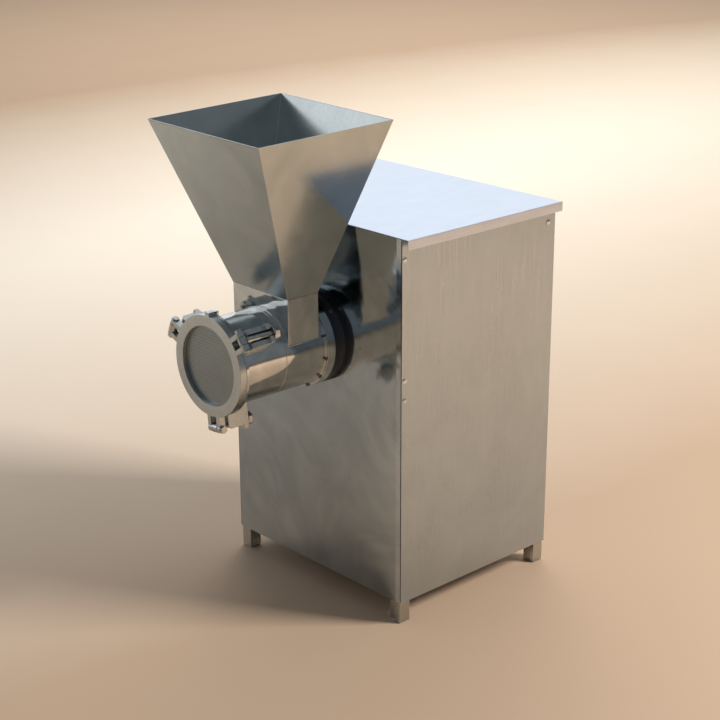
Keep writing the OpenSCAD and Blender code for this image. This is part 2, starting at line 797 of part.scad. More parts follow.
module drive_belts() color("black") for (s = [-1, 1])
    translate([0, pulley_y + s * belt_pitch / 2 + belt_w / 2, motor_z]) rotate([90, 0, 0])
        linear_extrude(belt_w) difference() {
            belt_outline(belt_drop);
            belt_outline(belt_drop + belt_h);
        }

// Motor
module foot_bolt_holes() for (s = [-1, 1], k = [0, 1])
    translate([s * foot_x, foot_y(k), shelf_z - eps]) cylinder(d = foot_bolt_d + 0.6, h = 40);

function foot_y(k) = motor_y - shield_t - stator_l / 2 + (k - 0.5) * foot_pitch_y;

module motor_body() color("steelblue") difference() {
    stator_y = motor_y - shield_t - stator_l;
    fins = 28;
    union() {
        rod(motor_r - 8, stator_y, stator_y + stator_l, 0, motor_z);
        for (i = [0:fins - 1]) translate([0, 0, motor_z]) rotate([0, i * 360 / fins, 0])
            block([motor_r - 12, stator_y + 2, -1.2], [motor_r, stator_y + stator_l - 2, 1.2]);
        for (s = [-1, 1]) mirror([s < 0 ? 1 : 0, 0, 0])
            block([foot_x - 22, stator_y, motor_z - motor_h],
                  [foot_x + 18, stator_y + stator_l, motor_z - motor_h + 10]);
        block([-foot_x + 20, stator_y + 4, motor_z - motor_h + 2],
              [foot_x - 20, stator_y + stator_l - 4, motor_z - motor_r + 30]);
    }
    rod(motor_r - 16, stator_y - eps, stator_y + stator_l + eps, 0, motor_z);
    foot_bolt_holes();
}

module motor_end_shields() color("steelblue") for (y = [motor_y - shield_t, motor_y - 2 * shield_t - stator_l])
    difference() {
        rod(motor_r - 4, y, y + shield_t, 0, motor_z);
        rod(motor_shaft_r + 4, y - eps, y + shield_t + eps, 0, motor_z);
    }

module motor_cowl() color("steelblue") {
    y = motor_y - 2 * shield_t - stator_l - cowl_l;
    difference() {
        rod(motor_r - 2, y, y + cowl_l, 0, motor_z);
        rod(motor_r - 4, y + 2, y + cowl_l + eps, 0, motor_z);
        for (a = [0:30:330], r = [22, 36, 50]) translate([0, 0, motor_z]) rotate([0, a, 0])
            rod(4, y - eps, y + 3, r, 0);
    }
}

module motor_shaft() color("lightgray")
    rod(motor_shaft_r, motor_y - 2 * shield_t - stator_l - 25, pulley_y + pulley_w / 2 + 4, 0, motor_z);

module motor_fan() color("black") {
    y = motor_y - 2 * shield_t - stator_l - 24;
    difference() {
        union() {
            rod(20, y, y + 18, 0, motor_z);
            for (a = [0:45:315]) translate([0, 0, motor_z]) rotate([0, a, 0])
                block([16, y, -1.5], [motor_r - 12, y + 18, 1.5]);
        }
        rod(motor_shaft_r + press, y - eps, y + 18 + eps, 0, motor_z);
    }
}

module terminal_box() color("steelblue") difference() {
    y = motor_y - shield_t - stator_l / 2;
    block([-45, y - 40, motor_z + motor_r], [45, y + 40, motor_z + motor_r + 42]);
    block([-42, y - 37, motor_z + motor_r + 3], [42, y + 37, motor_z + motor_r + 39]);
}

module motor_bolts() color("gray") for (s = [-1, 1], k = [0, 1]) translate([s * foot_x, foot_y(k), 0]) {
    translate([0, 0, shelf_z + motor_plate_t + 10]) cylinder(r = 7.5, h = 6, $fn = 6);
    translate([0, 0, shelf_z - 12]) cylinder(d = foot_bolt_d, h = motor_plate_t + 24);
    translate([0, 0, shelf_z - 7]) cylinder(r = 7.5, h = 7, $fn = 6);
}

// Electrical fittings
module cable_gland() color("black") difference() {
    union() {
        rod(gland_thread_r, rear_y - 14, rear_y + 10, gland_x, gland_z);
        hex(gland_nut_r, rear_y, rear_y + 7, gland_x, gland_z);
        hex(gland_nut_r, rear_y - 8, rear_y - sheet_t, gland_x, gland_z);
        rod(gland_nut_r - 2, rear_y + 7, rear_y + gland_l, gland_x, gland_z);
    }
    rod(gland_r, rear_y - 14 - eps, rear_y + gland_l + eps, gland_x, gland_z);
}

module at_switch() translate([-side_x, switch_y, switch_z]) children();

// A box of half width b and half height c about the switch's centre, between two depths
module switch_box(x0, x1, b, c) block([x0, -b, -c], [x1, b, c]);

module switch_body() color("black") at_switch() difference() {
    union() {
        switch_box(-bezel_t, 0, switch_w / 2 + bezel_w, switch_h / 2 + bezel_w);
        switch_box(-bezel_t, 26, switch_w / 2 - gap, switch_h / 2 - gap);
    }
    switch_box(-bezel_t - 1, 16, rocker_w / 2 + gap, rocker_h / 2 + 1.5);
}

module switch_rocker() color("darkred") at_switch()
    translate([rocker_x, rocker_w / 2, 0]) rotate([90, 0, 0]) rotate([0, 0, rocker_tilt])
        linear_extrude(rocker_w) polygon([
            [-6, 0], [-8.5, rocker_h / 2 - 1], [6, rocker_h / 2 - 4], [6, -rocker_h / 2 + 4],
            [-8.5, -rocker_h / 2 + 1]
        ]);

corner_posts();
foot_plates();
frame_rails();
bearing_beams();
mounting_plate();
motor_plate();
front_panel();
right_side_panel();
left_side_panel();
rear_panel();
floor_pan();
top_lid();
panel_screws();
barrel_tube();
barrel_front_flange();
barrel_rear_flange();
clamp_lugs();
feed_neck();
spacer_ring();
flange_bolts();
clamp_ring();
screen_plate();
clamp_pins();
swing_bolt_1();
swing_bolt_2();
swing_bolt_3();
clamp_washer_1();
clamp_washer_2();
clamp_washer_3();
clamp_nut_1();
clamp_nut_2();
clamp_nut_3();
hopper();
main_shaft();
feed_screw();
rotor_discs();
hammer_pins();
rotor_locknut();
main_pulley();
hammers_1();
hammers_2();
hammers_3();
hammers_4();
bearing_housings();
bearing_outer_rings();
bearing_inner_rings();
bearing_bolts();
shaft_seal();
motor_body();
motor_end_shields();
motor_cowl();
motor_shaft();
motor_fan();
motor_pulley();
terminal_box();
motor_bolts();
drive_belts();
cable_gland();
switch_body();
switch_rocker();
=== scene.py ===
import json
import math

import bmesh
import bpy
from mathutils import Matrix, Vector, noise


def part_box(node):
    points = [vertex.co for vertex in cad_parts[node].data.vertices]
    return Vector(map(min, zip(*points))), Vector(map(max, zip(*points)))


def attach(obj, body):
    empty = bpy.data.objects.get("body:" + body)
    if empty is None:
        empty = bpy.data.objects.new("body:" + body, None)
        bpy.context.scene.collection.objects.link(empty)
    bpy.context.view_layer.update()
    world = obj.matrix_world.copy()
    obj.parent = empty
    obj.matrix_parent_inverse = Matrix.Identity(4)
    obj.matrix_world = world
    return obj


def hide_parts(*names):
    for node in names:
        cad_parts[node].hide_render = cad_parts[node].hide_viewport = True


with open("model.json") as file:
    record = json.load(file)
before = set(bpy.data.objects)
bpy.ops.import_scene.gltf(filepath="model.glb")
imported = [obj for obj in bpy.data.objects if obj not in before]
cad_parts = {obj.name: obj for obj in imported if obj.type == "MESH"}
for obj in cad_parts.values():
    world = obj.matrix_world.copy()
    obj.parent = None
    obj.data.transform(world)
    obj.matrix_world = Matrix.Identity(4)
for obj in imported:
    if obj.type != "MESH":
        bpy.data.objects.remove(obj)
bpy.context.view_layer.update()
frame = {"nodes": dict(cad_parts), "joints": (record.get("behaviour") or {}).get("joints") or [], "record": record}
joints = {j["name"]: j for j in frame["joints"]}
axisZ = joints["rotor_spin"]["pos_m"][2]
bodyOf = {n: b for b, nodes in frame["record"]["behaviour"]["bodies"].items() for n in nodes}
slotOf = {s["node"]: s["material_slot"] for s in frame["record"]["subparts"]}
print("frame loaded,", len(frame["nodes"]), "nodes")

# camera
cameraSpot = dict(place=(2.1722, -1.9593, 1.4749), target=(-0.0890, 0.1130, 0.3853), roll=-0.264, lens=82.59)
camera = bpy.data.objects.new("camera", bpy.data.cameras.new("camera"))
bpy.context.scene.collection.objects.link(camera)
bpy.context.scene.camera = camera
camera.data.sensor_width = 36
camera.data.lens = cameraSpot["lens"]
aim = (Vector(cameraSpot["target"])
       - Vector(cameraSpot["place"])).to_track_quat("-Z", "Y").to_matrix().to_4x4()
camera.matrix_world = (Matrix.Translation(cameraSpot["place"]) @ aim
                       @ Matrix.Rotation(math.radians(cameraSpot["roll"]), 4, "Z"))


# shader maths
class Wire:  # a socket that can be added, multiplied and so on
    def __init__(self, finish, socket):
        self.finish, self.socket = finish, socket

    def math(self, operation, first, second):
        return self.finish.node("Math", {"operation": operation}, {0: first, 1: second})

    def __add__(self, other):
        return self.math("ADD", self, other)

    def __sub__(self, other):
        return self.math("SUBTRACT", self, other)

    def __rsub__(self, other):
        return self.math("SUBTRACT", other, self)

    def __mul__(self, other):
        return self.math("MULTIPLY", self, other)

    def __truediv__(self, other):
        return self.math("DIVIDE", self, other)

    def __pow__(self, other):
        return self.math("POWER", self, other)

    __radd__ = __add__
    __rmul__ = __mul__


class Finish:  # a material and the nodes that feed its one shader
    def __init__(self, name):
        self.material = bpy.data.materials.new(name)
        self.material.use_nodes = True
        self.tree = self.material.node_tree
        self.tree.nodes.clear()
        self.shader = self.tree.nodes.new("ShaderNodeBsdfPrincipled")
        output = self.tree.nodes.new("ShaderNodeOutputMaterial")
        self.tree.links.new(self.shader.outputs[0], output.inputs[0])

    def put(self, socket, value):
        if isinstance(value, Wire):
            self.tree.links.new(value.socket, socket)
        else:
            socket.default_value = value

    def node(self, kind, settings=None, sockets=None, output=0):
        made = self.tree.nodes.new("ShaderNode" + kind)
        for key, value in (settings or {}).items():
            setattr(made, key, value)
        for key, value in (sockets or {}).items():
            self.put(made.inputs[key], value)
        return Wire(self, made.outputs[output])

    def place(self, scale=(1, 1, 1), turn=(0, 0, 0)):  # the object's own metres, stretched or turned
        spot = self.node("TexCoord", output="Object")
        return self.node("Mapping", {}, {"Vector": spot, "Scale": scale, "Rotation": turn})

    def grain(self, scale, detail=3, rough=0.55, stretch=(1, 1, 1), turn=(0, 0, 0), distortion=0):
        return self.node("TexNoise", {}, {"Vector": self.place(stretch, turn), "Scale": scale,
                                          "Detail": detail,
                                          "Roughness": rough, "Distortion": distortion})

    def range(self, value, low, high, toLow, toHigh):
        return self.node("MapRange", {}, {0: value, 1: low, 2: high, 3: toLow, 4: toHigh})

    def blend(self, amount, first, second, how="MIX"):
        return self.node("Mix", {"data_type": "RGBA", "blend_type": how},
                         {0: amount, 6: first, 7: second}, output=2)

    def ridges(self, height, strength, distance, under=None):
        sockets = {"Height": height, "Strength": strength, "Distance": distance}
        if under:
            sockets["Normal"] = under
        return self.node("Bump", {}, sockets)

    def set(self, colour, metallic, roughness, bump):
        for key, value in {"Base Color": colour, "Metallic": metallic,
                           "Roughness": roughness, "Normal": bump}.items():
            self.put(self.shader.inputs[key], value)
        return self.material


def rgb(r, g, b):
    return (r, g, b, 1)


# finishes
# polished by hand: bright, wavy, a little smeared
def mirrorSteel(name, tint, dark, rough=(0.03, 0.11), wave=0.0, smear=14):
    finish = Finish(name)
    cloud = finish.grain(smear, 4, 0.6, distortion=1.4)
    haze = finish.grain(smear * 6, 3, 0.6)
    colour = finish.blend(finish.range(cloud, 0.35, 0.7, 0, 1), rgb(*dark), rgb(*tint))
    roughness = finish.range(cloud * 0.6 + haze * 0.4, 0.3, 0.75, rough[0], rough[1])
    scratch = finish.grain(260, 2, 0.5, (1, 1, 0.04))
    bump = finish.ridges(scratch, 0.03, 0.0002)
    if wave:
        bump = finish.ridges(finish.grain(7, 2, 0.5, distortion=0.8), wave, 0.02, bump)
    return finish.set(colour, 1.0, roughness, bump)


# rolled sheet with a fine grain
def sheetSteel(name, tint, dark, rough=(0.24, 0.4), stretch=(1, 1, 0.03), mottle=9, wave=0.02):
    finish = Finish(name)
    patch = finish.grain(mottle, 4, 0.62, distortion=0.6)
    line = finish.grain(420, 2, 0.6, stretch)
    colour = finish.blend(finish.range(patch, 0.3, 0.72, 0, 1), rgb(*dark), rgb(*tint))
    colour = finish.blend(finish.range(line, 0.3, 0.8, 0, 0.22), colour, rgb(*[c * 0.72 for c in tint]))
    roughness = finish.range(patch * 0.55 + line * 0.45, 0.3, 0.75, rough[0], rough[1])
    bump = finish.ridges(line, 0.05, 0.0003, finish.ridges(finish.grain(5, 2, 0.5), wave, 0.02))
    return finish.set(colour, 1.0, roughness, bump)


# faced on a lathe about the barrel's axis
def turnedSteel(name, tint, dark, rough=(0.22, 0.36), rings=900.0, depth=0.06):
    finish = Finish(name)
    spot = finish.node("TexCoord", output="Object")
    flat = finish.node("VectorMath", {"operation": "MULTIPLY"}, {0: spot, 1: (1, 0, 1)})
    reach = finish.node("VectorMath", {"operation": "DISTANCE"}, {0: flat, 1: (0, 0, axisZ)}, output="Value")
    groove = finish.node("Math", {"operation": "SINE"}, {0: reach * rings * math.tau})
    patch = finish.grain(16, 4, 0.6)
    ringNoise = finish.node("TexNoise", {"noise_dimensions": "1D"},
                            {"W": reach * 900, "Scale": 1.0, "Detail": 3})
    colour = finish.blend(finish.range(patch * 0.5 + ringNoise * 0.5, 0.3, 0.7, 0, 1), rgb(*dark), rgb(*tint))
    roughness = finish.range(patch * 0.5 + ringNoise * 0.5, 0.3, 0.7, rough[0], rough[1])
    bump = finish.ridges(groove * 0.4 + ringNoise, depth, 0.0002)
    return finish.set(colour, 1.0, roughness, bump)


def paint(name, tint, rough=(0.35, 0.5)):
    finish = Finish(name)
    peel = finish.grain(240, 3, 0.5)
    patch = finish.grain(18, 3, 0.6)
    colour = finish.blend(finish.range(patch, 0.3, 0.7, 0, 1), rgb(*[c * 0.82 for c in tint]), rgb(*tint))
    return finish.set(colour, 0.0, finish.range(patch, 0.3, 0.7, *rough), finish.ridges(peel, 0.12, 0.0004))


def moulded(name, tint, rough=(0.4, 0.62)):
    finish = Finish(name)
    pores = finish.grain(900, 3, 0.6)
    dust = finish.grain(30, 4, 0.65)
    colour = finish.blend(finish.range(dust, 0.45, 0.8, 0, 0.5), rgb(*tint),
                          rgb(*[min(1, c * 2.2 + 0.02) for c in tint]))
    return finish.set(colour, 0.0, finish.range(dust, 0.3, 0.75, *rough), finish.ridges(pores, 0.15, 0.0002))


finishes = {
    "polished_steel": mirrorSteel("polishedSteel", (0.66, 0.68, 0.68), (0.48, 0.50, 0.50), (0.04, 0.13), 0.12),
    "turned_steel": turnedSteel("turnedSteel", (0.60, 0.64, 0.64), (0.45, 0.48, 0.48)),
    "screen_steel": turnedSteel("screenSteel", (0.34, 0.38, 0.39), (0.26, 0.29, 0.30), (0.3, 0.42)),
    "mirror_sheet": mirrorSteel("mirrorSheet", (0.52, 0.59, 0.63), (0.40, 0.46, 0.50), (0.08, 0.17), 0.16, 6),
    "satin_sheet": sheetSteel("satinSheet", (0.52, 0.59, 0.64), (0.45, 0.51, 0.56)),
    # the lid's sheet is tinted lighter and bluer than the side panels' sheet: painted light on the top face
    "lid_sheet": sheetSteel("lidSheet", (0.82, 0.89, 1.0), (0.73, 0.80, 0.92), (0.34, 0.48), (1, 0.03, 1)),
    "hopper_sheet": sheetSteel("hopperSheet", (0.54, 0.59, 0.60), (0.42, 0.47, 0.48), (0.14, 0.26)),
    "frame_steel": sheetSteel("frameSteel", (0.56, 0.58, 0.55), (0.44, 0.46, 0.44), (0.22, 0.36)),
    "plate_steel": sheetSteel("plateSteel", (0.40, 0.41, 0.41), (0.31, 0.32, 0.32), (0.35, 0.5)),
    "screw_steel": mirrorSteel("screwSteel", (0.92, 0.92, 0.92), (0.78, 0.78, 0.78), (0.16, 0.26)),
    "bright_steel": mirrorSteel("brightSteel", (0.66, 0.67, 0.66), (0.42, 0.43, 0.42), (0.14, 0.26), 0.0, 40),
    "black_oxide": sheetSteel("blackOxide", (0.30, 0.30, 0.31), (0.16, 0.16, 0.17), (0.3, 0.45)),
    "ground_steel": sheetSteel("groundSteel", (0.60, 0.60, 0.60), (0.50, 0.50, 0.50), (0.2, 0.3)),
    "food_steel": sheetSteel("foodSteel", (0.56, 0.56, 0.54), (0.42, 0.42, 0.40), (0.2, 0.35)),
    "hammer_steel": sheetSteel("hammerSteel", (0.34, 0.34, 0.34), (0.24, 0.24, 0.24), (0.35, 0.5)),
    "black_rubber": moulded("blackRubber", (0.012, 0.016, 0.026), (0.26, 0.46)),
    "housing_paint": paint("housingPaint", (0.05, 0.18, 0.13)),
    "motor_paint": paint("motorPaint", (0.06, 0.14, 0.24)),
    "grey_iron": sheetSteel("greyIron", (0.30, 0.30, 0.30), (0.20, 0.20, 0.20), (0.4, 0.55)),
    "belt_rubber": moulded("beltRubber", (0.012, 0.012, 0.012), (0.6, 0.8)),
    "black_plastic": moulded("blackPlastic", (0.02, 0.02, 0.022)),
    "red_plastic": moulded("redPlastic", (0.36, 0.015, 0.012), (0.25, 0.4)),
}
for name, node in frame["nodes"].items():
    node.data.materials.clear()
    node.data.materials.append(finishes[slotOf[name]])
print("finishes made,", len(finishes))


# making pieces
def keepPiece(bm, name, body, slot, *replaced, smooth=32):
    mesh = bpy.data.meshes.new(name)
    bm.to_mesh(mesh)
    bm.free()
    mesh.materials.append(finishes[slot])
    mesh.polygons.foreach_set("use_smooth", [True] * len(mesh.polygons))
    mesh.set_sharp_from_angle(angle=math.radians(smooth))
    piece = bpy.data.objects.new(name, mesh)
    bpy.context.scene.collection.objects.link(piece)
    even = piece.modifiers.new("even", "WEIGHTED_NORMAL")
    even.keep_sharp = True
    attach(piece, body)
    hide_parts(*replaced)
    return piece


def roundEdges(bm, width, segments=2, angle=40):
    sharp = [e for e in bm.edges if len(e.link_faces) == 2 and e.calc_face_angle() > math.radians(angle)]
    bmesh.ops.bevel(bm, geom=sharp, affect="EDGES", offset=width, offset_type="OFFSET", segments=segments,
                    profile=0.5, material=-1, clamp_overlap=True)


def easedCopy(node, name, width, segments=2, angle=40):  # a CAD node's own shape with its edges broken
    bm = bmesh.new()
    bm.from_mesh(frame["nodes"][node].data)
    bmesh.ops.remove_doubles(bm, verts=bm.verts[:], dist=2e-6)
    bmesh.ops.dissolve_limit(bm, angle_limit=math.radians(0.4), verts=bm.verts[:], edges=bm.edges[:])
    roundEdges(bm, width, segments, angle)
    return keepPiece(bm, name, bodyOf[node], slotOf[node], node)


eased = {
    "top_lid": 0.0007, "right_side_panel": 0.0004, "left_side_panel": 0.0004, "corner_posts": 0.0016,
    "foot_plates": 0.0006, "clamp_lugs": 0.0007, "feed_neck": 0.0007, "hopper": 0.0006,
}
for node, width in eased.items():
    easedCopy(node, node.title().replace("_", ""), width)
print("eased copies made")

barrel = dict(radius=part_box("barrel_tube")[1][0], wall=0.004, segments=192, bead=0.0014)
clampAngle = {i: math.degrees(math.atan2(joints[f"clamp_{i}_swing"]["pos_m"][2] - axisZ,
                                         joints[f"clamp_{i}_swing"]["pos_m"][0]))
              for i in (1, 2, 3)}


def span(node):  # how far a node reaches along the barrel
    low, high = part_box(node)
    return low[1], high[1]


# turns a closed (y, radius) outline about the Y axis
def lathe(bm, profile, segments=192, centre=(0, axisZ), ease=0.0):
    made = [bm.verts.new((centre[0] + r, y, centre[1])) for y, r in profile]
    edges = [bm.edges.new((made[i], made[(i + 1) % len(made)])) for i in range(len(made))]
    bmesh.ops.spin(bm, geom=made + edges, cent=(centre[0], 0, centre[1]), axis=(0, 1, 0), angle=math.tau,
                   steps=segments, use_merge=True)
    bmesh.ops.remove_doubles(bm, verts=bm.verts[:], dist=1e-6)
    bmesh.ops.recalc_face_normals(bm, faces=bm.faces[:])
    if ease:
        roundEdges(bm, ease)


def slab(bm, low, high, turn=None, ease=0.0006):  # a block with broken edges, turned into place
    part = bmesh.new()
    bmesh.ops.create_cube(part, size=1)
    size = [b - a for a, b in zip(low, high)]
    middle = [(a + b) / 2 for a, b in zip(low, high)]
    bmesh.ops.scale(part, vec=size, verts=part.verts[:])
    bmesh.ops.translate(part, vec=middle, verts=part.verts[:])
    roundEdges(part, ease)
    join(bm, part, turn)


def drum(bm, radius, length, at, sides=64, ease=0.0006, turn=None, along="Z"):  # a round or hexagonal bar
    part = bmesh.new()
    bmesh.ops.create_cone(part, cap_ends=True, segments=sides, radius1=radius, radius2=radius, depth=length)
    bmesh.ops.rotate(part, matrix=Matrix.Rotation(math.radians(90), 3, "Z"), verts=part.verts[:])
    if along == "Y":
        bmesh.ops.rotate(part, matrix=Matrix.Rotation(math.radians(-90), 3, "X"), verts=part.verts[:])
    bmesh.ops.translate(part, vec=at, verts=part.verts[:])
    roundEdges(part, ease, 2, 50)
    join(bm, part, turn)


def join(bm, part, turn=None):
    if turn:
        bmesh.ops.transform(part, matrix=turn, verts=part.verts[:])
    held = bpy.data.meshes.new("held")
    part.to_mesh(held)
    part.free()
    bm.from_mesh(held)
    bpy.data.meshes.remove(held)


def aboutBarrel(degrees):  # x outwards, y along the barrel and z along the tangent
    return Matrix.Translation((0, 0, axisZ)) @ Matrix.Rotation(-math.radians(degrees), 4, "Y")


# Barrel: a turned tube with the feed port cut through it
bm = bmesh.new()
front, back = span("barrel_tube")
lathe(bm, [(front, barrel["radius"]), (back, barrel["radius"]), (back, barrel["radius"] - barrel["wall"]),
           (front, barrel["radius"] - barrel["wall"])], barrel["segments"])
neckLow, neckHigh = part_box("feed_neck")
port = [neckLow[0] + 0.003, neckHigh[0] - 0.003, neckLow[1] + 0.003, neckHigh[1] - 0.003]
sides = [((x, 0, 0), (1, 0, 0)) for x in port[:2]] + [((0, y, 0), (0, 1, 0)) for y in port[2:]]
for place, normal in sides:
    bmesh.ops.bisect_plane(bm, geom=bm.verts[:] + bm.edges[:] + bm.faces[:],
                           plane_co=place, plane_no=normal, dist=1e-7)
cut = [f for f in bm.faces if port[0] < f.calc_center_median().x < port[1]
       and port[2] < f.calc_center_median().y < port[3] and f.calc_center_median().z > axisZ]
bmesh.ops.delete(bm, geom=cut, context="FACES")
bmesh.ops.bridge_loops(bm, edges=[e for e in bm.edges if e.is_boundary])
bmesh.ops.recalc_face_normals(bm, faces=bm.faces[:])
keepPiece(bm, "barrelTube", "root", "polished_steel", "barrel_tube")

# Flanges
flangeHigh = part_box("barrel_front_flange")[1]
frontFlange = dict(radius=flangeHigh[0], thick=0.006, bore=0.072,
                   keyWidth=0.012, keyTop=flangeHigh[2] - axisZ)
bm = bmesh.new()
ringBack = span("barrel_front_flange")[0]
flangeBack = ringBack + frontFlange["thick"]
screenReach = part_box("screen_plate")[1][0] + 0.0003
lathe(bm, [(ringBack, frontFlange["radius"]), (flangeBack, frontFlange["radius"]),
           (flangeBack, barrel["radius"]),
           (span("screen_plate")[1], barrel["radius"]), (span("screen_plate")[1], screenReach),
           (ringBack, screenReach)], ease=0.0007)
slab(bm, (barrel["radius"] + 0.0002, ringBack + 0.0002, -frontFlange["keyWidth"] / 2),
     (frontFlange["keyTop"], span("barrel_front_flange")[1], frontFlange["keyWidth"] / 2), aboutBarrel(90))
keepPiece(bm, "frontFlange", "root", "polished_steel", "barrel_front_flange")

rear = dict(radius=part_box("barrel_rear_flange")[1][0], bore=0.0185, seal=0.026, sealDepth=0.010)
bm = bmesh.new()
front, back = span("barrel_rear_flange")
lathe(bm, [(front, rear["radius"]), (back, rear["radius"]), (back, rear["bore"]),
           (front + rear["sealDepth"], rear["bore"]),
           (front + rear["sealDepth"], rear["seal"]), (front, rear["seal"])], ease=0.0008)
keepPiece(bm, "rearFlange", "root", "polished_steel", "barrel_rear_flange")

# Spacer: a smooth band by the flange, then a wrinkled one by the panel
spacer = dict(bore=0.040, smooth=0.010, ripple=0.0011, ridges=5)
bm = bmesh.new()
front, back = span("spacer_ring")
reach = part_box("spacer_ring")[1][0]
steps = 40
outline = [(front + (back - front) * k / steps, reach) for k in range(steps + 1)]
lathe(bm, outline + [(back, spacer["bore"]), (front, spacer["bore"])], 240)
for v in bm.verts:
    away = Vector((v.co.x, 0, v.co.z - axisZ))
    deep = (v.co.y - front - spacer["smooth"]) / (back - front - spacer["smooth"])
    if away.length > reach * 0.98 and 0 < deep < 1:
        crease = 0.5 + 0.5 * math.sin(math.tau * (deep * spacer["ridges"] + 1.3 * noise.noise(v.co * 34)))
        crumple = 0.5 + 0.5 * noise.noise(v.co * 130)
        shrink = spacer["ripple"] * (0.65 * crease + 0.6 * crumple) * min(1, deep * 8)
        v.co -= away.normalized() * shrink
keepPiece(bm, "spacerBand", "root", "black_rubber", "spacer_ring", smooth=70)

# Clamp ring: turned, with two ears at each clamp
ring = dict(thick=0.014, ear=0.009, earGap=0.015, earRadius=0.008, keySet=0.002)
pinReach = math.hypot(joints["clamp_1_swing"]["pos_m"][0], joints["clamp_1_swing"]["pos_m"][2] - axisZ)
pinY = joints["clamp_1_swing"]["pos_m"][1]
ringFace = pinY - ring["thick"] / 2
bm = bmesh.new()
lathe(bm, [(ringFace, frontFlange["radius"]), (ringBack, frontFlange["radius"]), (ringBack, screenReach),
           (span("screen_plate")[0], screenReach), (span("screen_plate")[0], frontFlange["bore"]),
           (ringFace, frontFlange["bore"])], ease=0.0011)
for angle in clampAngle.values():
    for side in (-1, 1):
        z = side * (ring["earGap"] + ring["ear"]) / 2
        slab(bm, (frontFlange["radius"] - 0.006, ringFace + 0.0002, z - ring["ear"] / 2),
             (pinReach, ringBack - 0.0002, z + ring["ear"] / 2), aboutBarrel(angle), 0.0009)
        drum(bm, ring["earRadius"], ring["ear"], (pinReach, pinY, z), 64, 0.0009, aboutBarrel(angle))
slab(bm, (frontFlange["radius"] - 0.004, ringFace + ring["keySet"], -frontFlange["keyWidth"] / 2),
     (frontFlange["keyTop"], ringBack - 0.0002, frontFlange["keyWidth"] / 2), aboutBarrel(90))
keepPiece(bm, "clampRing", "root", "turned_steel", "clamp_ring")

# Clamp pins, bolts, washers and nuts
pin = dict(radius=0.004, past=0.001, head=0.007, headThick=0.005, button=0.0055, buttonThick=0.003)
bm = bmesh.new()
half = ring["earGap"] / 2 + ring["ear"]
for angle in clampAngle.values():
    turn = aboutBarrel(angle)
    drum(bm, pin["radius"], 2 * (half + pin["past"]), (pinReach, pinY, 0), 48, 0.0003, turn)
    drum(bm, pin["head"], pin["headThick"], (pinReach, pinY, half + pin["headThick"] / 2), 6, 0.0005, turn)
    drum(bm, pin["button"], pin["buttonThick"], (pinReach, pinY, -half - pin["buttonThick"] / 2),
         48, 0.0006, turn)
keepPiece(bm, "clampPins", "root", "bright_steel", "clamp_pins")
bolt = dict(radius=0.006, eye=0.0085, eyeWidth=0.0142, thread=0.00175, depth=0.0009,
            plain=0.034, grip=0.058, past=0.005)
washer = dict(radius=0.0155, bore=0.00605, thick=0.003)
nut = dict(radius=0.0127, thick=0.0125, gap=0.0001)
for i, angle in clampAngle.items():
    turn = aboutBarrel(angle)
    end = pinY + bolt["grip"] + washer["thick"] + nut["thick"] + bolt["past"]
    bm = bmesh.new()
    drum(bm, bolt["eye"], bolt["eyeWidth"], (pinReach, pinY, 0), 64, 0.0007, turn)
    part = bmesh.new()
    outline, y = [(pinY, 0.0), (pinY, bolt["radius"]),
                  (pinY + bolt["plain"], bolt["radius"])], pinY + bolt["plain"]
    while y + bolt["thread"] < end - 0.001:
        outline += [(y + bolt["thread"] / 2, bolt["radius"] - bolt["depth"]),
                    (y + bolt["thread"], bolt["radius"])]
        y += bolt["thread"]
    outline += [(end, bolt["radius"] - 0.0013), (end, 0.0)]
    lathe(part, outline, 48, (pinReach, 0))
    join(bm, part, turn)
    keepPiece(bm, f"swingBolt{i}", f"swing_bolt_{i}", "bright_steel", f"swing_bolt_{i}")
    seat = pinY + bolt["grip"]
    bm, part = bmesh.new(), bmesh.new()
    lathe(part, [(seat, washer["radius"]), (seat + washer["thick"], washer["radius"]),
                 (seat + washer["thick"], washer["bore"]), (seat, washer["bore"])], 96, (pinReach, 0), 0.0005)
    join(bm, part, turn)
    keepPiece(bm, f"clampWasher{i}", f"clamp_washer_{i}", "bright_steel", f"clamp_washer_{i}")
    bm = bmesh.new()
    middle = seat + washer["thick"] + nut["gap"] + nut["thick"] / 2
    drum(bm, nut["radius"], nut["thick"], (pinReach, middle, 0), 6, 0.0009, turn, "Y")
    keepPiece(bm, f"clampNut{i}", f"clamp_nut_{i}", "bright_steel", f"clamp_nut_{i}", smooth=25)

